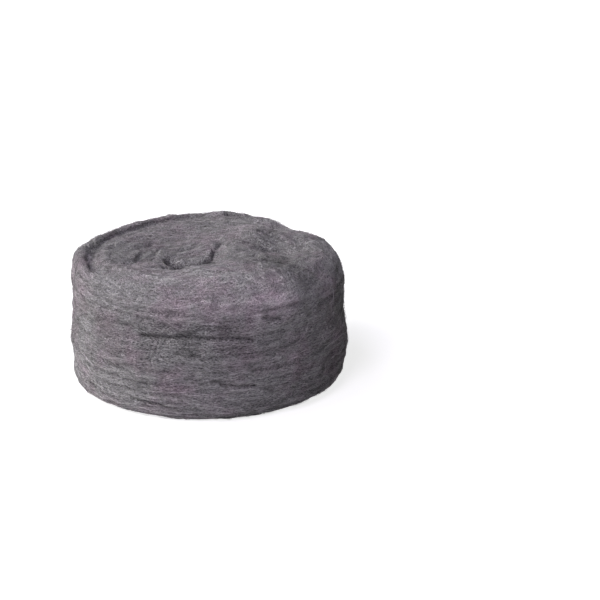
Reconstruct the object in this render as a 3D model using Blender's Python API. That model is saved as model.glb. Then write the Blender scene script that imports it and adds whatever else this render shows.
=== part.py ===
"""A roll of fine steel wool: one long strip, standing on its edge, wound flat into a round bundle.

The strip is one piece, so the roll is one solid. It starts as a feathered edge folded round a
narrow crease near the middle, runs outwards clockwise as seen from above, and ends as a torn,
thinned edge at the back. Neighbouring turns lie against each other with a hair's gap.
Metres, +Z up. The roll lies on its flat face, and the origin is on the ground at the middle of
its footprint. The front of the roll faces -Y.
"""

import math

import bmesh
import bpy

# The roll
ROLL_DIAMETER = 0.154  # twice the reach of the strip's outer end
STRIP_WIDTH = 0.070  # the height of the roll, because the strip stands on its edge
TURNS = 8
TURN_GAP = 0.0003  # the free space between a turn and the next

# The crease that the first turn is folded round
CREASE_LENGTH = 0.020
CREASE_WIDTH = 0.0020
CREASE_X = -0.010  # the winding is off centre, so its turns are thinner on the left
CREASE_Y = -0.0065

# The two ends of the strip
START_SHARE = 0.20  # of a turn's thickness, where the feathered inner end begins
END_ANGLE = math.radians(66)  # where the outer end lies, counted from +X
END_FEATHER = math.radians(34)  # the stretch over which the outer end thins out
END_SHARE = 0.35  # of a turn's thickness, left at the torn outer end

# The rounding of the whole roll, over its top and bottom rims. A swing is added on the side
# that it is given for, and taken off on the far side
TOP_SHOULDER = 0.0165
TOP_SHOULDER_SWING = 0.0095
SLUMPED_SIDE = math.radians(290)
BOTTOM_SHOULDER = 0.0075
BOTTOM_SHOULDER_SWING = 0.0045
LIFTED_SIDE = math.radians(310)
RIM_BLEND = 0.8  # of a turn before the end, where the rim starts to reach for the outer end

# The last stretch of the strip stands up as a lip round the back and the left
LIP_TURNS = 0.46  # its length, counted from the outer end
LIP_FADE = 0.14  # the share of a turn over which it sinks into the slumped side
LIP_SHOULDER = 0.0075
LIP_DROP = 0.0009
LIP_GROOVE = 0.0026  # how far the turn inside the lip is sunk
GROOVE_START = 0.07  # the share of a turn over which it sinks, under the outer end

# The ridge that each turn makes on the top, and the smaller one underneath
RIDGE_DEPTH = 0.0012
RIDGE_DEPTH_SWING = 0.0004  # taken off on the slumped side, added on the far side
FOOT_CHAMFER = 0.0011

# Swellings and hollows of the top
FRONT_CREST_RISE = 0.0024
BACK_BUMP_RISE = 0.0030
LEFT_RISE = 0.0010
CREASE_DEPTH = 0.0080
BACK_DISH_DEPTH = 0.0052
RIGHT_HOLLOW_DEPTH = 0.0062
BACK_RIGHT_DIP = 0.0052
CREASE_ARM_DEPTH = 0.0030
RIGHT_SHOULDER_DIP = 0.0014
RIGHT_FRONT_BULGE = 0.0012

# Slow waves of the top: how high they stand, and their length along x and along y
TOP_WAVE_RISE = 0.0006
TOP_WAVE_LENGTHS = (0.038, 0.030)

# The wall of the outermost turn. On the front of the roll it swells below a waist, and all
# round it has slow waves. The ends of its turn are even
WAIST_DEPTH = 0.0016
LOWER_SWELL_RISE = 0.0010
FRONT_SIDE = math.radians(262)
FRONT_HALF = math.radians(65)
WALL_WAVE_RISE = 0.0005
WALL_WAVES_ROUND = (7, 11)
WALL_WAVE_HEIGHTS = (0.052, 0.034)  # the height over which each of the two repeats
WALL_FADE = 0.12  # the share of a turn over which the wall becomes even

# Mesh steps
STEPS_PER_TURN = 50
# The strip's section, corner by corner round it: how far across from the inner wall to the
# outer one, how far up from the foot to the top, and the share of the edge rounding taken off
SECTION = (
    (0.00, 0.0, 1.00),
    (0.17, 0.0, 0.00),
    (0.83, 0.0, 0.00),
    (1.00, 0.0, 1.00),
    (1.00, 0.20, 0.0),
    (1.00, 0.38, 0.0),
    (1.00, 0.56, 0.0),
    (1.00, 0.74, 0.0),
    (1.00, 0.88, 0.0),
    (1.00, 1.0, 1.00),
    (0.82, 1.0, 0.30),
    (0.50, 1.0, 0.00),
    (0.18, 1.0, 0.30),
    (0.00, 1.0, 1.00),
    (0.00, 0.5, 0.0),
)

ROLL_RADIUS = ROLL_DIAMETER / 2
SPIRAL_TURNS = TURNS - START_SHARE
# Each swelling and hollow: its height, and as shares of the roll's radius its middle x,
# middle y, half width along x and half width along y
TOP_SWELLS = (
    (FRONT_CREST_RISE, -0.03, -0.42, 0.55, 0.16),
    (BACK_BUMP_RISE, 0.32, 0.36, 0.18, 0.15),
    (LEFT_RISE, -0.87, -0.03, 0.26, 0.45),
    (-CREASE_DEPTH, CREASE_X / ROLL_RADIUS, CREASE_Y / ROLL_RADIUS, 0.20, 0.086),
    (-BACK_DISH_DEPTH, -0.32, 0.26, 0.45, 0.45),
    (-RIGHT_HOLLOW_DEPTH, 0.50, 0.09, 0.24, 0.15),
    (-BACK_RIGHT_DIP, 0.60, 0.60, 0.32, 0.21),
    (-CREASE_ARM_DEPTH, 0.05, 0.10, 0.035, 0.17),
    (-RIGHT_SHOULDER_DIP, 0.60, -0.42, 0.14, 0.14),
    (RIGHT_FRONT_BULGE, 0.53, -0.73, 0.15, 0.15),
)
# Each swell of the wall: how far it stands out, and as shares of the strip's width its
# middle height and half height
WALL_SWELLS = (
    (-WAIST_DEPTH, 0.65, 0.08),
    (LOWER_SWELL_RISE, 0.40, 0.16),
)


def smooth_step(value):
    """0 below 0, 1 above 1, and an even S between them."""
    t = min(1.0, max(0.0, value))
    return t * t * (3 - 2 * t)


def winding_point(progress, angle):
    """A point of the winding in plan. Progress is 0 at the crease and 1 at the rim."""
    half_x = CREASE_LENGTH / 2 * (1 - progress) + ROLL_RADIUS * progress
    half_y = CREASE_WIDTH / 2 * (1 - progress) + ROLL_RADIUS * progress
    x = CREASE_X * (1 - progress) + half_x * math.cos(angle)
    y = CREASE_Y * (1 - progress) + half_y * math.sin(angle)
    return x, y


def wall_points(turned):
    """The strip's inner and outer wall in plan, where it has been wound by that many turns."""
    angle = END_ANGLE + (TURNS - turned) * 2 * math.pi
    outer = winding_point(turned / TURNS, angle)
    inner = winding_point(max(turned - 1, 0) / TURNS, angle)
    thickness = math.dist(inner, outer)
    from_end = (TURNS - turned) * 2 * math.pi / END_FEATHER
    kept = END_SHARE + (1 - END_SHARE) * smooth_step(from_end)
    sides = []
    for across in (TURN_GAP / 2 / thickness, kept - TURN_GAP / 2 / thickness):
        sides.append(tuple(a + (b - a) * across for a, b in zip(inner, outer)))
    return sides


def rounding(from_edge, radius):
    """How far a rounded shoulder has fallen, that far in from the edge."""
    if from_edge >= radius:
        return 0.0
    return radius - math.sqrt(radius**2 - (radius - max(from_edge, 0.0)) ** 2)


def inside_rim(x, y):
    """How far a point in plan lies inside the rim of the outermost turn."""
    angle = math.atan2(y, x)
    from_end = (angle - END_ANGLE) / (2 * math.pi) % 1
    kept = from_end * (1 - smooth_step((from_end - RIM_BLEND) / (1 - RIM_BLEND)))
    return math.hypot(*winding_point(1 - kept / TURNS, angle)) - math.hypot(x, y)


def swung(middle, swing, x, y, side):
    """A size that is larger on one side of the roll, and smaller on the far side."""
    return middle + swing * math.cos(math.atan2(y, x) - side)


def lip_share(from_end):
    """1 where the strip stands up as a lip and 0 where not, that many turns from its end."""
    return smooth_step((LIP_TURNS - from_end) / LIP_FADE)


def top_height(x, y, from_end):
    """The height of the top of the strip at a point in plan, that many turns from its end."""
    shoulder = swung(TOP_SHOULDER, TOP_SHOULDER_SWING, x, y, SLUMPED_SIDE)
    slumped = STRIP_WIDTH - rounding(inside_rim(x, y), shoulder)
    lip = STRIP_WIDTH - LIP_DROP - rounding(inside_rim(x, y), LIP_SHOULDER)
    groove = LIP_GROOVE * lip_share(from_end - 1) * smooth_step((from_end - 1) / GROOVE_START)
    height = slumped + (lip - slumped) * lip_share(from_end) - groove
    across_x = x / ROLL_RADIUS
    across_y = y / ROLL_RADIUS
    for rise, middle_x, middle_y, half_x, half_y in TOP_SWELLS:
        off = ((across_x - middle_x) / half_x) ** 2 + ((across_y - middle_y) / half_y) ** 2
        height += rise * math.exp(-off)
    waves = [math.sin(2 * math.pi * a / b) for a, b in zip((x, y), TOP_WAVE_LENGTHS)]
    return height + TOP_WAVE_RISE * waves[0] * waves[1]


def wall_bulge(x, y, z, from_end):
    """How far the wall of the outermost turn stands out from an even winding."""
    angle = math.atan2(y, x)
    from_front = abs((angle - FRONT_SIDE + math.pi) % (2 * math.pi) - math.pi)
    front = smooth_step(2 - from_front / FRONT_HALF)
    bulge = 0.0
    for rise, middle, half in WALL_SWELLS:
        bulge += front * rise * math.exp(-(((z / STRIP_WIDTH - middle) / half) ** 2))
    for waves_round, height in zip(WALL_WAVES_ROUND, WALL_WAVE_HEIGHTS):
        bulge += WALL_WAVE_RISE * math.sin(waves_round * angle + 2 * math.pi * z / height)
    return bulge * smooth_step((1 - from_end) / WALL_FADE) * smooth_step(from_end / WALL_FADE)


def foot_height(x, y):
    """The height of the underside, which is flat on the ground but for its rounded rim."""
    shoulder = swung(BOTTOM_SHOULDER, BOTTOM_SHOULDER_SWING, x, y, LIFTED_SIDE)
    return rounding(inside_rim(x, y), shoulder)


def section_corner(turned, corner):
    """Where a corner of the strip's section lies, where it has been wound by that many turns."""
    (inner_x, inner_y), (outer_x, outer_y) = wall_points(turned)
    across, up, cut = SECTION[corner]
    x = inner_x + (outer_x - inner_x) * across
    y = inner_y + (outer_y - inner_y) * across
    ridge = swung(RIDGE_DEPTH, -RIDGE_DEPTH_SWING, x, y, SLUMPED_SIDE)
    foot = foot_height(x, y) + FOOT_CHAMFER * cut
    top = top_height(x, y, TURNS - turned) - ridge * cut
    z = foot + (top - foot) * up
    if across == 1 and up > 0:
        outward = 1 + wall_bulge(x, y, z, TURNS - turned) / math.hypot(x, y)
        x *= outward
        y *= outward
    return x, y, z


def wind_strip():
    """A long prism with the strip's section, cut across at every step and wound into the roll."""
    mesh = bmesh.new()
    bmesh.ops.create_cone(
        mesh, cap_ends=True, segments=len(SECTION), radius1=1, radius2=1, depth=1
    )
    lengthwise = [e for e in mesh.edges if abs(e.verts[0].co.z - e.verts[1].co.z) > 0.5]
    steps = round(SPIRAL_TURNS * STEPS_PER_TURN)
    bmesh.ops.subdivide_edges(mesh, edges=lengthwise, cuts=steps - 1)
    for vertex in mesh.verts:
        wound = START_SHARE + (vertex.co.z + 0.5) * SPIRAL_TURNS
        side = math.atan2(vertex.co.y, vertex.co.x) / (2 * math.pi)
        vertex.co = section_corner(wound, round(side * len(SECTION)) % len(SECTION))
    return mesh


def centre_on_footprint(mesh):
    """Moves the roll so that the origin is at the middle of its footprint, on the ground."""
    for axis in range(2):
        places = [v.co[axis] for v in mesh.verts]
        middle = (min(places) + max(places)) / 2
        for vertex in mesh.verts:
            vertex.co[axis] -= middle


def steel_wool_material():
    material = bpy.data.materials.new("steel_wool")
    material.use_nodes = True
    shader = material.node_tree.nodes["Principled BSDF"]
    shader.inputs["Base Color"].default_value = (0.20, 0.19, 0.20, 1.0)
    shader.inputs["Metallic"].default_value = 0.7
    shader.inputs["Roughness"].default_value = 0.55
    return material


def main():
    for old in list(bpy.data.objects):
        bpy.data.objects.remove(old)
    collection = bpy.data.collections.new("steel_wool_roll")
    bpy.context.scene.collection.children.link(collection)

    wound = wind_strip()
    centre_on_footprint(wound)
    data = bpy.data.meshes.new("wool_roll")
    wound.to_mesh(data)
    wound.free()
    data.shade_smooth()
    data.set_sharp_from_angle(angle=math.radians(40))
    data.materials.append(steel_wool_material())
    collection.objects.link(bpy.data.objects.new("wool_roll", data))


main()
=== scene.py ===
"""The looks of a roll of fine steel wool: its soft body, the fibres laid over it, and the studio.

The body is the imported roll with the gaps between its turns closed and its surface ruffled. The
fibres are thin, pointed wires laid on the body along the winding, in a few layers that differ
in length, lie and thickness. Metres, +Z up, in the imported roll's own frame.
"""

import math

import bmesh
import bpy
import numpy as np
from mathutils import Matrix, Vector
from mathutils.bvhtree import BVHTree


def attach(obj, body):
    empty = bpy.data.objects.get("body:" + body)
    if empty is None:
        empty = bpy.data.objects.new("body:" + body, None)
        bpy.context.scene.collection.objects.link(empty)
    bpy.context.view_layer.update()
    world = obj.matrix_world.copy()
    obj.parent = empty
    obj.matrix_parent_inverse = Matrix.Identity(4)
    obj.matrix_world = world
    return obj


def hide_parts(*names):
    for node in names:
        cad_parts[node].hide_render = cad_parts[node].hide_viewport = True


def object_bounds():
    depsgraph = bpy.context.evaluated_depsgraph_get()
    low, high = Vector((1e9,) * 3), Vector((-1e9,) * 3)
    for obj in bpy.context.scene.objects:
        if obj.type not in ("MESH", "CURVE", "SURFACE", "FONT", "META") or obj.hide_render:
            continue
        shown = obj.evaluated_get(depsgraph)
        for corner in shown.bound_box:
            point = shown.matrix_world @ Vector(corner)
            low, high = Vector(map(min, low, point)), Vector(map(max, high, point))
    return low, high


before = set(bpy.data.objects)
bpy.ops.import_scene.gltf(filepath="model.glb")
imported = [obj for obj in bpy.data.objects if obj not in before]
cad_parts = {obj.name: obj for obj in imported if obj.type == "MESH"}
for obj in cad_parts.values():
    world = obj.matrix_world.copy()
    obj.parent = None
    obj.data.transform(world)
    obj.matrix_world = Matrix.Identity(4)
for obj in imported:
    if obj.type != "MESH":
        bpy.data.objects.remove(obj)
cad_low, cad_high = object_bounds()

# The camera, which stands where the photograph was taken from
PICTURE_PX = 600
SENSOR = 36.0
CAMERA_ELEVATION = math.radians(20)
CAMERA_DISTANCE = 1.047
PX_PER_METRE = 1880  # at the roll's middle
ROLL_MIDDLE_PX = (208.8, 309.0)
CAMERA_TARGET_HEIGHT = 0.035
NEAREST_SEEN = 0.05
FARTHEST_SEEN = 50.0

# The body
CLOSE_GAP = 0.00028  # how far the turns swell, so that the gaps between them close
VOXEL = 0.00094
SOFTEN_STEPS = 4
SOFTEN_FACTOR = 0.5
SAME_CORNER = 1e-6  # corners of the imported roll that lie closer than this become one
CROWN_FACING = (0.35, 0.85)  # how far the skin faces up where the top starts, and is full
WINDING_MIDDLE = (-0.010, -0.013)

# Layers of the ruffle: steps round the roll, size across the winding, height on the wall,
# height on the crown, seed
RUFFLES = (
    (8, 0.0190, 0.0003, 0.0003, 11),
    (18, 0.0060, 0.0003, 0.0005, 12),
    (46, 0.0020, 0.0003, 0.0003, 13),
)
TUFT_SIZE = 0.0042
TUFT_HEIGHT = 0.0004
TUFT_SEED = 14
NOISE_CELLS = 64  # the noise repeats after this many of its steps

# Creases seen in the photograph: points in its pixels, half width and depth in metres, and how
# dark the painted shade in them is
CREASES = (
    (((151, 248), (155, 255), (158, 249), (163, 246)), 0.0009, 0.0012, 0.45),
    (((143, 249), (139, 258), (134, 262), (124, 265)), 0.0013, 0.0010, 0.40),
    (((161, 246), (168, 243.5), (176, 244)), 0.0010, 0.0008, 0.30),
    (((146, 253), (148, 246), (153, 241)), 0.0009, 0.0008, 0.30),
    (((172, 253), (181, 256), (190, 254)), 0.0010, 0.0008, 0.25),
    (((197, 244), (190, 249), (176, 251), (166, 250)), 0.0014, 0.0008, 0.25),
    (((90, 272), (90, 260), (95, 250), (103, 242), (118, 233)), 0.0012, 0.0007, 0.40),
    (
        ((118, 234.5), (137, 228), (150, 223), (170, 219.5), (187, 217.5), (202, 215)),
        0.0014,
        0.0007,
        0.34,
    ),
    (((228, 214), (243, 215), (257, 217)), 0.0018, 0.0016, 0.55),
    (((266, 249), (278, 251), (292, 254)), 0.0014, 0.0010, 0.35),
    (((255, 255), (268, 258), (286, 261)), 0.0014, 0.0010, 0.35),
    (((236, 246), (246, 243), (258, 242)), 0.0012, 0.0008, 0.30),
    (((268, 234), (276, 236), (284, 241)), 0.0014, 0.0010, 0.30),
    (((226, 257), (236, 259), (246, 257)), 0.0010, 0.0006, 0.22),
    (((290, 262), (300, 267), (312, 270)), 0.0014, 0.0008, 0.30),
    (((140, 335), (160, 337.5), (177, 338), (187, 337.5)), 0.0009, 0.0014, 0.60),
    (((183, 337), (208, 339), (228, 338), (253, 340)), 0.0008, 0.0013, 0.60),
    (((176, 333), (188, 334), (197, 332)), 0.0007, 0.0008, 0.50),
    (((203, 330), (216, 331), (231, 329)), 0.0007, 0.0008, 0.45),
    (((266, 317), (273, 318.5), (281, 319)), 0.0011, 0.0010, 0.50),
    (((202, 360), (225, 357), (245, 354)), 0.0007, 0.0008, 0.40),
    (((132, 398), (148, 402), (163, 405)), 0.0007, 0.0011, 0.55),
    (((212, 382), (237, 387), (253, 386), (273, 390)), 0.0007, 0.0009, 0.45),
)

# The folds at the middle of the top, which the front crest partly hides in the photograph: points
# in plan, half width and depth, all in metres, and how dark the painted shade in them is
FOLDS = (
    (((-0.021, -0.003), (-0.015, -0.007)), 0.0020, 0.0030, 0.75),
    (((-0.015, -0.007), (-0.006, -0.0075), (-0.001, -0.0055)), 0.0028, 0.0036, 0.80),
    (((-0.001, -0.0055), (0.001, -0.004)), 0.0024, 0.0050, 0.90),
    (((0.001, -0.004), (0.0025, 0.001), (0.0035, 0.007)), 0.0012, 0.0024, 0.65),
    (((0.0035, 0.007), (0.0045, 0.013), (0.007, 0.019)), 0.0009, 0.0018, 0.50),
    (((-0.015, -0.009), (-0.017, -0.017), (-0.023, -0.025)), 0.0026, 0.0024, 0.65),
)

# Where the top is lower than in the solid: a place in plan, a radius and a depth, in metres
HOLLOWS = (
    ((-0.017, -0.026), 0.0115, 0.0042),
    ((-0.003, -0.024), 0.0110, 0.0020),
)

# Dents and tufts: a pixel of the photograph, a radius and a depth in metres, and the change of the
# shade there, which is painted: painted shade in the hollows, and painted light on the tufts and
# the crest. A tuft has a depth below zero
DENTS = (
    ((163, 264), 0.0030, -0.0014, 0.12),
    ((215, 275), 0.0130, -0.0008, 0.18),
    ((248, 229), 0.0085, -0.0014, 0.16),
    ((262, 222), 0.0060, -0.0010, 0.10),
    ((262, 245), 0.0100, 0.0004, -0.30),
    ((278, 258), 0.0120, 0.0006, -0.62),
    ((299, 270), 0.0110, 0.0004, -0.30),
    ((190, 338), 0.0090, 0.0004, -0.24),
    ((290, 303), 0.0110, -0.0004, 0.38),
)

# Places with only painted light or painted shade, lighter or darker: a pixel of the photograph, a
# radius in metres, and the change of the shade there
PAINTED_LIGHT_AND_SHADE = (
    ((210, 292), 0.0320, 0.10),
    ((150, 342), 0.0110, -0.14),
    ((178, 345), 0.0110, -0.16),
    ((202, 347), 0.0100, -0.12),
    ((268, 309), 0.0110, 0.20),
    ((270, 366), 0.0120, 0.08),
    ((246, 400), 0.0120, 0.14),
    ((82, 326), 0.0140, -0.08),
    ((248, 281), 0.0110, 0.08),
    ((112, 290), 0.0200, 0.05),
    ((276, 236), 0.0080, -0.12),
    ((222, 250), 0.0100, -0.07),
    ((128, 264), 0.0180, -0.09),
    ((138, 346), 0.0220, -0.26),
    ((104, 330), 0.0130, -0.16),
    ((205, 405), 0.0150, 0.08),
    ((150, 338), 0.0070, -0.12),
    ((235, 341), 0.0110, -0.20),
    ((220, 320), 0.0120, 0.10),
    ((215, 375), 0.0190, -0.10),
    ((250, 300), 0.0120, 0.10),
    ((100, 285), 0.0120, 0.08),
    ((168, 280), 0.0120, 0.08),
    ((125, 398), 0.0200, 0.14),
)

# Patches where the wool is tinted mauve: a pixel of the photograph, a radius in metres, and
# how strong the tint is
MAUVE_PATCHES = (
    ((165, 310), 0.010, 0.5),
    ((250, 316), 0.010, 0.3),
    ((132, 355), 0.008, 0.4),
    ((290, 304), 0.009, 0.12),
    ((172, 385), 0.009, 0.55),
    ((205, 284), 0.022, 0.25),
)

# The tint outside the patches: its share, how far it rises and falls, and the size and seed
# of each of its waves
MAUVE_SHARE = 0.07
MAUVE_SWING = 0.25
MAUVE_WAVES = (
    (0.016, 21),
    (0.004, 22),
)

# Streaks of painted shade along the winding, where the wool lies deeper: steps round the roll,
# size across it, and seed
SHADE_STREAKS = (
    (34, 0.0010, 51),
    (22, 0.0017, 52),
)
STREAK_DEPTH = 0.40
STREAK_NOISE = (0.25, 0.65)  # the noise where a streak starts, and where it is full
STREAK_LOST = 0.75  # of a streak, on the top

# How close the points of a drawn line lie, and how much wider the painted shade along it is than
# its cut
CREASE_STEP_PX = 3
FOLD_STEP = 0.0015
CREASE_SHADE_WIDTH = 1.35

# The fibres
FIBRE_SIDES = 3
START_SPREAD = VOXEL / 3
LENGTH_SPREAD = 0.35
RADIUS_SPREAD = 0.25
LIFT_POWER = 2  # the higher the power, the fewer fibres stand off far
ARCH_POWER = 4
CLEAR_SHADE = 0.66  # no fibre crosses a place whose painted shade is darker than this
PAINTED_GLINT_SHARE = 0.08  # of the fibres, painted pale as painted glints
PAINTED_GLINT_TONE = 1.25
SHORTEST_RUN = 0.00005  # a fibre that turns on the spot is left out
SAME_TIP = 1e-7  # corners of a fibre that lie closer than this become one
NO_LENGTH = 1e-9  # keeps a direction from being divided by zero
FLOOR_CLEARANCE = 0.0003

# Where fibres lie: the upward share of a face's direction, at which each zone ends
WALL_UP_TO = 0.75
CROWN_FROM = 0.35
UNDER_UP_TO = -0.5
UNDER_SHARE = 0.35  # of the loose fibres that other places have

# The flat maps for baking. The body's wall fills a band at the bottom, and its top and
# underside each a disc above it, with room for what stands out past the solid. Each fibre
# fills a small cell
MAP_EDGE = 0.01
WALL_BAND = 0.44
WALL_ROOM = 1.05
DISC_RADIUS = 0.24
DISC_ROOM = 1.08
TOP_MIDDLE = (0.25, 0.74)
UNDER_SHIFT = 0.5
DISC_FACING = 0.55
MAP_COLUMNS = 64
CELL_EDGE_ALONG = 0.06
CELL_EDGE_ROUND = 0.12

# The wool's colour and finish. A pair holds the values in the dark grain and in the pale one
STEEL = (0.287, 0.281, 0.283, 1)
MAUVE = (0.322, 0.240, 0.288, 1)
WOOL_METALLIC = 0.04
WOOL_SPECULAR = 0.08
BODY_CONTRAST = 1.9
BODY_ROUGHNESS = (0.85, 0.65)
BUMP_STRENGTH = 0.8
BUMP_DISTANCE = 0.0008
FIBRE_CONTRAST = 1.6
FIBRE_ROUGHNESS = (0.6, 0.45)
FIBRE_GRAIN_SHARE = 0.5  # the rest is each fibre's own tone

# The grain: how fine it is and how flat, on the wall and on the top
WALL_GRAIN = (720.0, 4.0)
CROWN_GRAIN = (1300.0, 1.0)
CROWN_GRAIN_RANGE = (0.16, 0.84)
CROWN_GRAIN_SHARE = (0.35, 0.95)  # on the wall, and on the top
GRAIN_DETAIL = 2.0
GRAIN_ROUGHNESS = 0.6
GRAIN_DISTORTION = 0.6
GRAIN_EDGES = (0.38, 0.62)  # the noise that is darkest, and palest

# The lamps: name, place, width, power and colour
LAMPS = (
    ("key", (-1.06, -0.06, 0.72), 0.7, 14.6, (0.98, 0.985, 0.875)),
    ("top", (-0.6, -0.1, 1.15), 0.8, 7.6, (0.85, 0.82, 1.0)),
    ("fill", (-0.40, -1.05, 0.84), 0.6, 12.6, (0.92, 0.86, 1.0)),
)
LAMP_AIM = (0, 0, 0.03)

# The white studio
AMBIENT = 0.015
FLOOR_SIZE = 6.0
FLOOR_COLOUR = 0.5
FLOOR_ROUGHNESS = 0.9
FLOOR_GLOW = (0.80, 1.0)  # by the roll, and away from it
FLOOR_GLOW_REACH = (0.12, 0.50)


def camera_place():
    """Where the camera stands, and the point that it looks at."""
    back = Vector((0, -math.cos(CAMERA_ELEVATION), math.sin(CAMERA_ELEVATION)))
    right = Vector((1, 0, 0))
    up = back.cross(right)
    middle = Vector((0, 0, CAMERA_TARGET_HEIGHT))
    off_right = (PICTURE_PX / 2 - ROLL_MIDDLE_PX[0]) / PX_PER_METRE
    off_up = (ROLL_MIDDLE_PX[1] - PICTURE_PX / 2) / PX_PER_METRE
    looked_at = middle + right * off_right + up * off_up
    return middle + back * CAMERA_DISTANCE, looked_at


def set_camera():
    place, looked_at = camera_place()
    data = bpy.data.cameras.new("camera")
    data.sensor_width = SENSOR
    data.lens = PX_PER_METRE * CAMERA_DISTANCE / PICTURE_PX * SENSOR
    data.clip_start = NEAREST_SEEN
    data.clip_end = FARTHEST_SEEN
    camera = bpy.data.objects.new("camera", data)
    turned = (place - looked_at).to_track_quat("Z", "Y").to_matrix().to_4x4()
    camera.matrix_world = Matrix.Translation(place) @ turned
    bpy.context.scene.collection.objects.link(camera)
    bpy.context.scene.camera = camera
    return camera


def sight_line(camera, pixel):
    """The line through a pixel of the picture: where it starts, and its direction."""
    turned = camera.matrix_world.to_3x3()
    reach = camera.data.lens / SENSOR * PICTURE_PX
    right = pixel[0] - PICTURE_PX / 2
    up = PICTURE_PX / 2 - pixel[1]
    return camera.matrix_world.translation, (turned @ Vector((right, up, -reach))).normalized()


def smooth_noise(points, cells, seed):
    """Noise between -1 and 1. It repeats after that many steps along each axis."""
    lattice = np.random.default_rng(seed).uniform(-1, 1, cells)
    low = np.floor(points).astype(int)
    part = points - low
    part = part * part * (3 - 2 * part)
    total = np.zeros(len(points))
    for corner in np.ndindex(2, 2, 2):
        share = np.prod(np.where(corner, part, 1 - part), axis=1)
        at = (low + corner) % cells
        total += share * lattice[at[:, 0], at[:, 1], at[:, 2]]
    return total


def even_noise(points, size, seed):
    """Noise between -1 and 1, with waves of about that size in every direction."""
    return smooth_noise(points / size + NOISE_CELLS, (NOISE_CELLS,) * 3, seed)


def winding_noise(points, steps_round, across, seed):
    """Noise drawn out along the winding: some steps round the roll, and a size across it."""
    inward = np.clip(1 - np.hypot(points[:, 0], points[:, 1]) / cad_high.x, 0, 1)
    x = points[:, 0] - WINDING_MIDDLE[0] * inward
    y = points[:, 1] - WINDING_MIDDLE[1] * inward
    turned = np.arctan2(y, x) / (2 * math.pi)
    radius = np.hypot(x, y)
    places = np.stack([turned * steps_round, radius / across, points[:, 2] / across], axis=1)
    return smooth_noise(places, (steps_round, NOISE_CELLS, NOISE_CELLS), seed)


def short_steps(points, length):
    """The points of a line, with others between them, so that no step is much longer."""
    steps = []
    for start, end in zip(points[:-1], points[1:]):
        count = max(1, round(math.dist(start, end) / length))
        for i in range(count):
            steps.append(np.array(start) + (np.array(end) - np.array(start)) * i / count)
    steps.append(np.array(points[-1]))
    return steps


def seen_place(tree, camera, pixel):
    """The place on the skin that a pixel of the photograph shows, or None beside the roll."""
    hit = tree.ray_cast(*sight_line(camera, pixel))[0]
    return None if hit is None else np.array(hit)


def drawn_line(tree, camera, pixels):
    """A line drawn on the photograph, brought onto the skin where it meets it."""
    steps = short_steps(pixels, CREASE_STEP_PX)
    hits = [seen_place(tree, camera, pixel) for pixel in steps]
    return np.array([hit for hit in hits if hit is not None])


def from_above(tree, place):
    """The place on the skin straight below a point in plan."""
    return np.array(tree.ray_cast(Vector((*place, 1)), Vector((0, 0, -1)))[0])


def line_distance(points, line):
    """How far each point is from a line of straight stretches."""
    best = np.full(len(points), np.inf)
    for start, end in zip(line[:-1], line[1:]):
        run = end - start
        share = np.clip((points - start) @ run / (run @ run), 0, 1)
        nearest = start + share[:, None] * run
        best = np.minimum(best, np.linalg.norm(points - nearest, axis=1))
    return best


def mesh_points(mesh):
    flat = np.empty(len(mesh.vertices) * 3, np.float32)
    mesh.vertices.foreach_get("co", flat)
    return flat.reshape(-1, 3).astype(float)


def mesh_normals(mesh):
    flat = np.empty(len(mesh.vertices) * 3, np.float32)
    mesh.vertex_normals.foreach_get("vector", flat)
    return flat.reshape(-1, 3).astype(float)


def set_points(mesh, points):
    mesh.vertices.foreach_set("co", points.astype(np.float32).ravel())
    mesh.update()


def new_object(name, mesh):
    made = bpy.data.objects.new(name, mesh)
    bpy.context.scene.collection.objects.link(made)
    return made


def evaluated_mesh(made):
    """The object's mesh with its modifiers applied."""
    graph = bpy.context.evaluated_depsgraph_get()
    graph.update()
    return bpy.data.meshes.new_from_object(made.evaluated_get(graph))


def merge_corners(mesh, reach):
    """Make one of any corners of a mesh that lie closer than the reach."""
    work = bmesh.new()
    work.from_mesh(mesh)
    bmesh.ops.remove_doubles(work, verts=work.verts, dist=reach)
    work.to_mesh(mesh)
    work.free()


def voxel_skin(mesh):
    """One skin round all that a mesh holds."""
    rough = new_object("wool_rough", mesh)
    remesh = rough.modifiers.new("remesh", "REMESH")
    remesh.mode = "VOXEL"
    remesh.voxel_size = VOXEL
    skin = evaluated_mesh(rough)
    bpy.data.objects.remove(rough)
    return skin


def soften(mesh):
    work = bmesh.new()
    work.from_mesh(mesh)
    for _ in range(SOFTEN_STEPS):
        bmesh.ops.smooth_vert(
            work,
            verts=work.verts,
            factor=SOFTEN_FACTOR,
            use_axis_x=True,
            use_axis_y=True,
            use_axis_z=True,
        )
    work.to_mesh(mesh)
    work.free()


def closed_body():
    """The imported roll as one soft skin: its turns swell until they touch, and become one."""
    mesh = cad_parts["wool_roll"].data.copy()
    merge_corners(mesh, SAME_CORNER)
    set_points(mesh, mesh_points(mesh) + CLOSE_GAP * mesh_normals(mesh))
    skin = voxel_skin(mesh)
    set_points(skin, mesh_points(skin) - CLOSE_GAP * mesh_normals(skin))
    soften(skin)
    return skin


def skin_tree(skin):
    return BVHTree.FromPolygons(
        [v.co for v in skin.vertices], [p.vertices for p in skin.polygons]
    )


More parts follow.
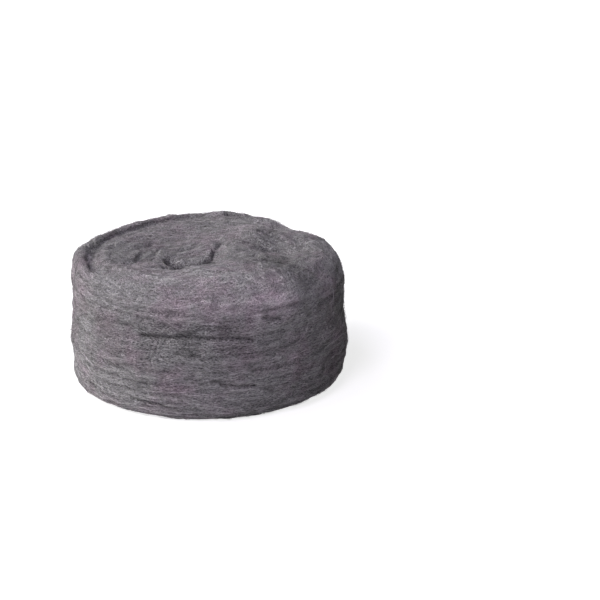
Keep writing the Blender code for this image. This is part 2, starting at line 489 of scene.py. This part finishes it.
def marks_on(skin, camera):
    """The creases, dents, patches of painted light and shade, and mauve patches, brought onto the
    skin.
    """
    tree = skin_tree(skin)
    creases = [(drawn_line(tree, camera, line), *rest) for line, *rest in CREASES]
    for line, *rest in FOLDS:
        steps = short_steps(line, FOLD_STEP)
        creases.append((np.array([from_above(tree, place) for place in steps]), *rest))
    dents = [(seen_place(tree, camera, at), *rest) for at, *rest in DENTS]
    dents += [(from_above(tree, place), *rest, 0.0) for place, *rest in HOLLOWS]
    dents += [(seen_place(tree, camera, at), radius, 0.0, change) for at, radius, change in PAINTED_LIGHT_AND_SHADE]
    patches = [(seen_place(tree, camera, at), *rest) for at, *rest in MAUVE_PATCHES]
    return {"creases": creases, "dents": dents, "patches": patches}


def smooth_share(values, low, high):
    """0 below the lower value, 1 above the higher one, and an even S between them."""
    share = np.clip((values - low) / (high - low), 0, 1)
    return share * share * (3 - 2 * share)


def bell(distances, width):
    """1 at a mark, falling smoothly to almost 0 at twice its width."""
    return np.exp(-((distances / width) ** 2))


def mark_depths(points, marks):
    """How far the creases and dents go in at each point."""
    total = np.zeros(len(points))
    for line, width, depth, _ in marks["creases"]:
        total = np.maximum(total, depth * bell(line_distance(points, line), width))
    for place, radius, depth, _ in marks["dents"]:
        total += depth * bell(np.linalg.norm(points - place, axis=1), radius)
    return total


def ruffle(points, crown):
    """How far the wool stands out at each point. crown is 0 on the wall and 1 on the top."""
    height = np.zeros(len(points))
    for steps_round, across, on_wall_rise, on_crown_rise, seed in RUFFLES:
        rise = on_wall_rise + (on_crown_rise - on_wall_rise) * crown
        height += rise * winding_noise(points, steps_round, across, seed)
    return height + TUFT_HEIGHT * even_noise(points, TUFT_SIZE, TUFT_SEED)


def painted_light_and_shade(points, crown, marks):
    """How light the wool's colour is at each point, where 1 is plain. It is painted light and
    shade: painted shade in streaks where the wool lies deeper, in creases and in hollows, and
    painted light on the crest, tufts and other lit places.
    """
    shade = np.ones(len(points))
    for steps_round, across, seed in SHADE_STREAKS:
        noise = winding_noise(points, steps_round, across, seed)
        streak = smooth_share(noise, *STREAK_NOISE)
        shade *= 1 - STREAK_DEPTH * streak * (1 - STREAK_LOST * crown)
    for place, radius, _, change in marks["dents"]:
        shade *= 1 + change * bell(np.linalg.norm(points - place, axis=1), radius)
    painted_crease_shade = np.zeros(len(points))
    for line, width, _, darkness in marks["creases"]:
        off = line_distance(points, line)
        painted_crease_shade = np.maximum(painted_crease_shade, darkness * bell(off, width * CREASE_SHADE_WIDTH))
    return shade * (1 - painted_crease_shade)


def ruffled_body(skin, marks):
    """The skin with its surface ruffled, as the body that the fibres lie on."""
    points = mesh_points(skin)
    normals = mesh_normals(skin)
    crown = smooth_share(np.abs(normals[:, 2]), *CROWN_FACING)
    height = ruffle(points, crown) - mark_depths(points, marks)
    moved = points + height[:, None] * normals
    moved[:, 2] = np.maximum(moved[:, 2], 0)
    set_points(skin, moved)
    # The shade is painted light and shade, which the materials multiply into the colour
    add_values(skin, "shade", painted_light_and_shade(points, crown, marks))
    add_values(skin, "crown", crown)
    add_values(skin, "mauve", mauve_share(points, marks))
    unwrap_by_side(skin)
    skin.shade_smooth()
    return new_object("wool_body", skin)


def add_values(mesh, name, values):
    """One number for each vertex, for the materials to read."""
    layer = mesh.attributes.new(name, "FLOAT", "POINT")
    layer.data.foreach_set("value", values.astype(np.float32))


def face_values(mesh, name):
    """The mean of such numbers over each face."""
    values = np.empty(len(mesh.vertices), np.float32)
    mesh.attributes[name].data.foreach_get("value", values)
    return np.array([values[list(p.vertices)].mean() for p in mesh.polygons])


def mauve_share(points, marks):
    """How mauve the wool is at each point, from 0 to 1."""
    share = np.full(len(points), MAUVE_SHARE)
    for size, seed in MAUVE_WAVES:
        share += MAUVE_SWING * even_noise(points, size, seed)
    for place, radius, strength in marks["patches"]:
        share += strength * bell(np.linalg.norm(points - place, axis=1), radius)
    return np.clip(share, 0, 1)


def loop_corners(mesh):
    """The number of the mesh's vertex at each corner of each face."""
    corners = np.empty(len(mesh.loops), int)
    mesh.loops.foreach_get("vertex_index", corners)
    return corners


def set_flat_map(mesh, u, v):
    layer = mesh.uv_layers.new(name="OFBake")
    layer.data.foreach_set("uv", np.stack([u, v], axis=1).astype(np.float32).ravel())


def unwrap_by_side(mesh):
    """A flat map for baking: the wall unrolled below, and the top and underside above it."""
    x, y, z = mesh_points(mesh)[loop_corners(mesh)].T
    owners = np.repeat(np.arange(len(mesh.polygons)), [p.loop_total for p in mesh.polygons])
    facing = np.array([p.normal.z for p in mesh.polygons])[owners]
    middle = np.array([math.atan2(p.center.y, p.center.x) for p in mesh.polygons])[owners]
    middle = middle / (2 * math.pi) + 0.5
    turned = np.arctan2(y, x) / (2 * math.pi) + 0.5
    turned += (middle - turned > 0.5) * 1.0 - (turned - middle > 0.5) * 1.0
    wall_u = MAP_EDGE + (1 - 2 * MAP_EDGE) * turned
    wall_v = MAP_EDGE + WALL_BAND * z / (cad_high.z * WALL_ROOM)
    disc_u = TOP_MIDDLE[0] + DISC_RADIUS * x / (cad_high.x * DISC_ROOM)
    disc_v = TOP_MIDDLE[1] + DISC_RADIUS * y / (cad_high.x * DISC_ROOM)
    disc_u = disc_u + UNDER_SHIFT * (facing < 0)
    flat = np.abs(facing) > DISC_FACING
    set_flat_map(mesh, np.where(flat, disc_u, wall_u), np.where(flat, disc_v, wall_v))


def start_places(body, weights, count, rng):
    """Random points near the middles of faces, more where the weight is larger."""
    mesh = body.data
    areas = np.array([p.area for p in mesh.polygons])
    centres = np.array([p.center for p in mesh.polygons])
    facing = np.array([p.normal.z for p in mesh.polygons])
    share = areas * weights(facing)
    chosen = rng.choice(len(areas), count, p=share / share.sum())
    return centres[chosen] + rng.normal(0, START_SPREAD, (count, 3))


def winding_direction(points, normals):
    """The unit direction along the winding, in the surface, and the one across it."""
    off = points - np.array([*WINDING_MIDDLE, 0])
    round_it = np.stack([-off[:, 1], off[:, 0], 0 * off[:, 0]], axis=1)
    along = round_it - (round_it * normals).sum(1)[:, None] * normals
    along /= np.linalg.norm(along, axis=1)[:, None] + NO_LENGTH
    return along, np.cross(normals, along)


def snap(tree, points):
    """The nearest places on the body, the outward directions there, and the faces."""
    found = [tree.find_nearest(p) for p in points]
    return tuple(np.array([f[part] for f in found]) for part in range(3))


def fibre_paths(body, tree, layer, rng):
    """Where each fibre of a layer runs, and the body's face under each of its points."""
    count = layer["count"]
    path_points = layer["points"]
    lengths = layer["length"] * np.exp(rng.normal(0, LENGTH_SPREAD, count))
    steps = lengths / (path_points - 1)
    turn = rng.normal(0, layer["stray"], count)
    curl = rng.normal(0, layer["curl"], count)
    forward = rng.choice([-1.0, 1.0], count)
    points, normals, face = snap(tree, start_places(body, layer["where"], count, rng))
    lift = layer["lift"] * rng.random(count) ** LIFT_POWER
    arch = layer["arch"] * rng.random(count) ** ARCH_POWER
    path = np.empty((count, path_points, 3))
    faces = np.empty((count, path_points), int)
    for i in range(path_points):
        share = i / (path_points - 1)
        raised = lift + arch * 4 * share * (1 - share)
        path[:, i] = points + raised[:, None] * normals
        faces[:, i] = face
        along, across = winding_direction(points, normals)
        heading = np.cos(turn)[:, None] * along + np.sin(turn)[:, None] * across
        points = points + (forward * steps)[:, None] * heading
        if i < path_points - 1:
            points, normals, face = snap(tree, points)
        turn = turn + curl * steps + rng.normal(0, layer["wander"], count)
    path[:, :, 2] = np.maximum(path[:, :, 2], FLOOR_CLEARANCE)
    return path, faces


def fibre_section():
    """The three-sided section of a fibre, one metre in radius and scaled at each point."""
    data = bpy.data.curves.new("fibre_section", "CURVE")
    data.dimensions = "2D"
    ring = data.splines.new("POLY")
    ring.points.add(FIBRE_SIDES - 1)
    for i, point in enumerate(ring.points):
        angle = -2 * math.pi * i / FIBRE_SIDES
        point.co = (math.cos(angle), math.sin(angle), 0, 1)
    ring.use_cyclic_u = True
    return new_object("fibre_section", data)


def wires(name, paths, radii):
    """Every path as a thin wire that runs out to a point at both ends, in one mesh."""
    section = fibre_section()
    data = bpy.data.curves.new(name, "CURVE")
    data.dimensions = "3D"
    data.bevel_mode = "OBJECT"
    data.bevel_object = section
    path_points = paths.shape[1]
    taper = np.ones(path_points)
    taper[[0, -1]] = 0
    weighted = np.concatenate([paths, np.ones((*paths.shape[:2], 1))], axis=2)
    for path, radius in zip(weighted, radii):
        spline = data.splines.new("POLY")
        spline.points.add(path_points - 1)
        spline.points.foreach_set("co", path.ravel())
        spline.points.foreach_set("radius", radius * taper)
    curve = new_object(name, data)
    mesh = evaluated_mesh(curve)
    bpy.data.objects.remove(curve)
    bpy.data.objects.remove(section)
    return mesh


def unwrap_fibres(mesh, count, path_points):
    """A flat map for baking, with a small cell for each fibre."""
    rows = math.ceil(count / MAP_COLUMNS)
    loops = loop_corners(mesh)
    per_fibre = path_points * FIBRE_SIDES
    fibre = loops // per_fibre
    ring = loops % per_fibre // FIBRE_SIDES
    side = (loops % FIBRE_SIDES).reshape(-1, 4)
    closing = (side.max(1) == FIBRE_SIDES - 1) & (side.min(1) == 0)
    side = np.where(closing[:, None] & (side == 0), FIBRE_SIDES, side).ravel()
    along = CELL_EDGE_ALONG + (1 - 2 * CELL_EDGE_ALONG) * ring / (path_points - 1)
    round_it = CELL_EDGE_ROUND + (1 - 2 * CELL_EDGE_ROUND) * side / FIBRE_SIDES
    u = (fibre % MAP_COLUMNS + along) / MAP_COLUMNS
    v = (fibre // MAP_COLUMNS + round_it) / rows
    set_flat_map(mesh, u, v)


def lay_fibres(body, tree, layer):
    """One layer of fibres, laid on the body. Each takes its painted shade and its tint from the
    body.
    """
    rng = np.random.default_rng(layer["seed"])
    paths, faces = fibre_paths(body, tree, layer, rng)
    under = {name: face_values(body.data, name)[faces] for name in ("shade", "mauve", "crown")}
    runs = np.linalg.norm(np.diff(paths, axis=1), axis=2)
    clear = (under["shade"].min(axis=1) > CLEAR_SHADE) & (runs.min(axis=1) > SHORTEST_RUN)
    count = int(clear.sum())
    radii = layer["radius"] * np.exp(rng.normal(0, RADIUS_SPREAD, count))
    mesh = wires(layer["name"], paths[clear], radii)
    tones = rng.random(count)
    # A share of the fibres is painted pale, as painted glints
    tones[rng.random(count) < PAINTED_GLINT_SHARE] = PAINTED_GLINT_TONE
    add_values(mesh, "tone", np.repeat(tones, layer["points"] * FIBRE_SIDES))
    for name, values in under.items():
        add_values(mesh, name, np.repeat(values[clear].ravel(), FIBRE_SIDES))
    unwrap_fibres(mesh, count, layer["points"])
    merge_corners(mesh, SAME_TIP)
    mesh.shade_smooth()
    return new_object(layer["name"], mesh)


def on_wall(facing):
    return np.abs(facing) < WALL_UP_TO


def on_crown(facing):
    return facing > CROWN_FROM


def all_over(facing):
    return np.where(facing < UNDER_UP_TO, UNDER_SHARE, 1.0)


# The layers, and in each: where its fibres lie, how many there are and of how many points,
# their mean length and radius, how far they stray from the winding at the start, how much they
# curl for each metre and turn at random at each point, and how high they lie and arch
FIBRE_LAYERS = (
    {
        "name": "wall_strands",
        "where": on_wall,
        "count": 2600,
        "points": 7,
        "length": 0.020,
        "radius": 0.00014,
        "stray": 0.08,
        "curl": 8.0,
        "wander": 0.06,
        "lift": 0.0002,
        "arch": 0.0002,
        "seed": 36,
    },
    {
        "name": "wall_fibres",
        "where": on_wall,
        "count": 6000,
        "points": 5,
        "length": 0.014,
        "radius": 0.00009,
        "stray": 0.14,
        "curl": 8.0,
        "wander": 0.06,
        "lift": 0.0003,
        "arch": 0.0003,
        "seed": 31,
    },
    {
        "name": "wall_fibres_short",
        "where": on_wall,
        "count": 12000,
        "points": 4,
        "length": 0.006,
        "radius": 0.00008,
        "stray": 0.28,
        "curl": 20.0,
        "wander": 0.1,
        "lift": 0.0003,
        "arch": 0.0003,
        "seed": 32,
    },
    {
        "name": "crown_fibres",
        "where": on_crown,
        "count": 12000,
        "points": 4,
        "length": 0.0055,
        "radius": 0.00008,
        "stray": 1.2,
        "curl": 40.0,
        "wander": 0.25,
        "lift": 0.0003,
        "arch": 0.0003,
        "seed": 33,
    },
    {
        "name": "crown_fibres_curled",
        "where": on_crown,
        "count": 7000,
        "points": 5,
        "length": 0.007,
        "radius": 0.00007,
        "stray": 0.9,
        "curl": 120.0,
        "wander": 0.3,
        "lift": 0.0005,
        "arch": 0.0010,
        "seed": 35,
    },
    {
        "name": "loose_fibres",
        "where": all_over,
        "count": 8000,
        "points": 5,
        "length": 0.01,
        "radius": 0.00008,
        "stray": 0.5,
        "curl": 60.0,
        "wander": 0.2,
        "lift": 0.0004,
        "arch": 0.001,
        "seed": 34,
    },
)


def new_group(name, inputs, outputs):
    """An empty shader group with named sockets, and its input and output nodes."""
    group = bpy.data.node_groups.new(name, "ShaderNodeTree")
    for socket, kind, value in inputs:
        made = group.interface.new_socket(socket, in_out="INPUT", socket_type=kind)
        made.default_value = value
    for socket, kind in outputs:
        group.interface.new_socket(socket, in_out="OUTPUT", socket_type=kind)
    return group, group.nodes.new("NodeGroupInput"), group.nodes.new("NodeGroupOutput")


def link(tree, source, target):
    tree.links.new(source, target)


def spread(tree, value, low, high):
    """A value from 0 to 1 brought between two others."""
    node = tree.nodes.new("ShaderNodeMapRange")
    link(tree, value, node.inputs["Value"])
    node.inputs["To Min"].default_value = low
    node.inputs["To Max"].default_value = high
    node.clamp = False
    return node.outputs["Result"]


def mixed_values(tree, first, second, share):
    """Two values mixed. The share of the second one is a value too."""
    node = tree.nodes.new("ShaderNodeMix")
    link(tree, share, node.inputs["Factor"])
    link(tree, first, node.inputs["A"])
    link(tree, second, node.inputs["B"])
    return node.outputs["Result"]


def combined(tree, operation, first, second):
    """Two values brought together, as by MULTIPLY or MAXIMUM."""
    node = tree.nodes.new("ShaderNodeMath")
    node.operation = operation
    link(tree, first, node.inputs[0])
    link(tree, second, node.inputs[1])
    return node.outputs["Value"]


def wool_colour_group():
    """Steel tinted mauve in patches, darker in its hollows and lighter in lit places by painted
    shade and painted light, and paler from fibre to fibre.
    """
    group, given, out = new_group(
        "wool_colour",
        (
            ("Steel", "NodeSocketColor", (0.2, 0.2, 0.2, 1)),
            ("Mauve", "NodeSocketColor", (0.2, 0.15, 0.2, 1)),
            ("Mauve Share", "NodeSocketFloat", 0.5),
            ("Shade", "NodeSocketFloat", 1.0),
            ("Tone", "NodeSocketFloat", 0.5),
            ("Contrast", "NodeSocketFloat", 1.0),
        ),
        (("Colour", "NodeSocketColor"),),
    )
    tint = group.nodes.new("ShaderNodeMix")
    tint.data_type = "RGBA"
    link(group, given.outputs["Mauve Share"], tint.inputs["Factor"])
    link(group, given.outputs["Steel"], tint.inputs["A"])
    link(group, given.outputs["Mauve"], tint.inputs["B"])
    level = group.nodes.new("ShaderNodeMath")
    level.operation = "MULTIPLY_ADD"
    link(group, spread(group, given.outputs["Tone"], -0.5, 0.5), level.inputs[0])
    link(group, given.outputs["Contrast"], level.inputs[1])
    level.inputs[2].default_value = 1.0
    shaded = combined(group, "MULTIPLY", level.outputs["Value"], given.outputs["Shade"])
    scaled = group.nodes.new("ShaderNodeVectorMath")
    scaled.operation = "SCALE"
    link(group, tint.outputs["Result"], scaled.inputs["Vector"])
    link(group, shaded, scaled.inputs["Scale"])
    link(group, scaled.outputs["Vector"], out.inputs["Colour"])
    return group


def grain_group():
    """The fine grain of cut and crossing fibres, as a value from 0 to 1."""
    group, given, out = new_group(
        "wool_grain",
        (
            ("Fineness", "NodeSocketFloat", 900.0),
            ("Stretch", "NodeSocketVector", (1, 1, 1)),
        ),
        (("Value", "NodeSocketFloat"),),
    )
    place = group.nodes.new("ShaderNodeTexCoord")
    stretched = group.nodes.new("ShaderNodeVectorMath")
    stretched.operation = "MULTIPLY"
    link(group, place.outputs["Object"], stretched.inputs[0])
    link(group, given.outputs["Stretch"], stretched.inputs[1])
    noise = group.nodes.new("ShaderNodeTexNoise")
    noise.inputs["Detail"].default_value = GRAIN_DETAIL
    noise.inputs["Roughness"].default_value = GRAIN_ROUGHNESS
    noise.inputs["Distortion"].default_value = GRAIN_DISTORTION
    link(group, stretched.outputs["Vector"], noise.inputs["Vector"])
    link(group, given.outputs["Fineness"], noise.inputs["Scale"])
    sharp = group.nodes.new("ShaderNodeMapRange")
    sharp.inputs["From Min"].default_value = GRAIN_EDGES[0]
    sharp.inputs["From Max"].default_value = GRAIN_EDGES[1]
    link(group, noise.outputs["Fac"], sharp.inputs["Value"])
    link(group, sharp.outputs["Result"], out.inputs["Value"])
    return group


def own_value(tree, name):
    """A number that the mesh carries at each vertex."""
    node = tree.nodes.new("ShaderNodeAttribute")
    node.attribute_name = name
    return node.outputs["Fac"]


def grain(tree, grains, fineness, stretch):
    """Grain of some fineness, which is flattened as many times as the stretch says."""
    node = tree.nodes.new("ShaderNodeGroup")
    node.node_tree = grains
    node.inputs["Fineness"].default_value = fineness
    node.inputs["Stretch"].default_value = (1, 1, stretch)
    return node.outputs["Value"]


def wool_material(name, colour_group, tone, contrast, roughness):
    """A steel wool finish. tone makes the value that sets one fibre off from the next."""
    material = bpy.data.materials.new(name)
    material.use_nodes = True
    tree = material.node_tree
    shader = tree.nodes["Principled BSDF"]
    shader.inputs["Metallic"].default_value = WOOL_METALLIC
    shader.inputs["Specular IOR Level"].default_value = WOOL_SPECULAR
    colour = tree.nodes.new("ShaderNodeGroup")
    colour.node_tree = colour_group
    colour.inputs["Steel"].default_value = STEEL
    colour.inputs["Mauve"].default_value = MAUVE
    colour.inputs["Contrast"].default_value = contrast
    link(tree, own_value(tree, "mauve"), colour.inputs["Mauve Share"])
    # The shade is painted light and shade, taken into the colour
    link(tree, own_value(tree, "shade"), colour.inputs["Shade"])
    value = tone(tree)
    link(tree, value, colour.inputs["Tone"])
    link(tree, colour.outputs["Colour"], shader.inputs["Base Color"])
    link(tree, spread(tree, value, *roughness), shader.inputs["Roughness"])
    return material, value


def wool_grain(tree, grains):
    """Grain that is drawn out flat on the wall, and fine and even on the top."""
    drawn_out = grain(tree, grains, *WALL_GRAIN)
    even = spread(tree, grain(tree, grains, *CROWN_GRAIN), *CROWN_GRAIN_RANGE)
    share = spread(tree, own_value(tree, "crown"), *CROWN_GRAIN_SHARE)
    return mixed_values(tree, drawn_out, even, share)


def body_material(colour_group, grains):
    def tone(tree):
        return wool_grain(tree, grains)

    material, value = wool_material(
        "wool_body", colour_group, tone, BODY_CONTRAST, BODY_ROUGHNESS
    )
    tree = material.node_tree
    bump = tree.nodes.new("ShaderNodeBump")
    bump.inputs["Strength"].default_value = BUMP_STRENGTH
    bump.inputs["Distance"].default_value = BUMP_DISTANCE
    link(tree, value, bump.inputs["Height"])
    link(tree, bump.outputs["Normal"], tree.nodes["Principled BSDF"].inputs["Normal"])
    return material


def fibre_material(colour_group, grains):
    def tone(tree):
        both = tree.nodes.new("ShaderNodeMix")
        both.inputs["Factor"].default_value = FIBRE_GRAIN_SHARE
        link(tree, own_value(tree, "tone"), both.inputs["A"])
        link(tree, wool_grain(tree, grains), both.inputs["B"])
        return both.outputs["Result"]

    material, _ = wool_material(
        "wool_fibres", colour_group, tone, FIBRE_CONTRAST, FIBRE_ROUGHNESS
    )
    return material


def area_light(name, place, size, power, colour):
    data = bpy.data.lights.new(name, "AREA")
    data.color = colour
    data.shape = "DISK"
    data.size = size
    data.energy = power
    light = bpy.data.objects.new(name, data)
    place = Vector(place)
    turned = (place - Vector(LAMP_AIM)).to_track_quat("Z", "Y").to_matrix().to_4x4()
    light.matrix_world = Matrix.Translation(place) @ turned
    bpy.context.scene.collection.objects.link(light)


def seen_share(tree):
    """1 for what the camera sees, straight, mirrored or through glass, and 0 for other light."""
    path = tree.nodes.new("ShaderNodeLightPath")
    total = path.outputs["Is Camera Ray"]
    for kind in ("Is Glossy Ray", "Is Transmission Ray"):
        total = combined(tree, "MAXIMUM", total, path.outputs[kind])
    return total


def white_world():
    """White to the camera, and a low even light on the roll."""
    world = bpy.data.worlds.new("studio")
    world.use_nodes = True
    tree = world.node_tree
    background = tree.nodes["Background"]
    background.inputs["Color"].default_value = (1, 1, 1, 1)
    link(tree, spread(tree, seen_share(tree), AMBIENT, 1.0), background.inputs["Strength"])
    bpy.context.scene.world = world


def floor_glow(tree):
    """How much white the camera sees in the floor besides its lit colour."""
    place = tree.nodes.new("ShaderNodeTexCoord")
    off = tree.nodes.new("ShaderNodeVectorMath")
    off.operation = "LENGTH"
    link(tree, place.outputs["Object"], off.inputs[0])
    ramp = tree.nodes.new("ShaderNodeMapRange")
    link(tree, off.outputs["Value"], ramp.inputs["Value"])
    for socket, value in zip(("From Min", "From Max"), FLOOR_GLOW_REACH):
        ramp.inputs[socket].default_value = value
    for socket, value in zip(("To Min", "To Max"), FLOOR_GLOW):
        ramp.inputs[socket].default_value = value
    return combined(tree, "MULTIPLY", ramp.outputs["Result"], seen_share(tree))


def white_floor():
    """A white floor that still takes the roll's shadow."""
    work = bmesh.new()
    bmesh.ops.create_grid(work, x_segments=1, y_segments=1, size=FLOOR_SIZE)
    mesh = bpy.data.meshes.new("floor")
    work.to_mesh(mesh)
    work.free()
    material = bpy.data.materials.new("floor")
    material.use_nodes = True
    tree = material.node_tree
    shader = tree.nodes["Principled BSDF"]
    shader.inputs["Base Color"].default_value = (FLOOR_COLOUR,) * 3 + (1,)
    shader.inputs["Roughness"].default_value = FLOOR_ROUGHNESS
    shader.inputs["Specular IOR Level"].default_value = 0.0
    glow = tree.nodes.new("ShaderNodeEmission")
    link(tree, floor_glow(tree), glow.inputs["Strength"])
    both = tree.nodes.new("ShaderNodeAddShader")
    link(tree, shader.outputs["BSDF"], both.inputs[0])
    link(tree, glow.outputs["Emission"], both.inputs[1])
    link(tree, both.outputs["Shader"], tree.nodes["Material Output"].inputs["Surface"])
    mesh.materials.append(material)
    floor = new_object("floor", mesh)


def dress(piece, material):
    """Give a piece its finish, and let it go with the roll."""
    piece.data.materials.clear()
    piece.data.materials.append(material)
    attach(piece, "root")


def main():
    scene = bpy.context.scene
    scene.view_settings.view_transform = "Standard"
    camera = set_camera()
    for lamp in LAMPS:
        area_light(*lamp)
    white_world()
    white_floor()

    skin = closed_body()
    marks = marks_on(skin, camera)
    body = ruffled_body(skin, marks)
    tree = skin_tree(body.data)
    colours = wool_colour_group()
    grains = grain_group()
    dress(body, body_material(colours, grains))
    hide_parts("wool_roll")
    fibres = fibre_material(colours, grains)
    for layer in FIBRE_LAYERS:
        dress(lay_fibres(body, tree, layer), fibres)


main()
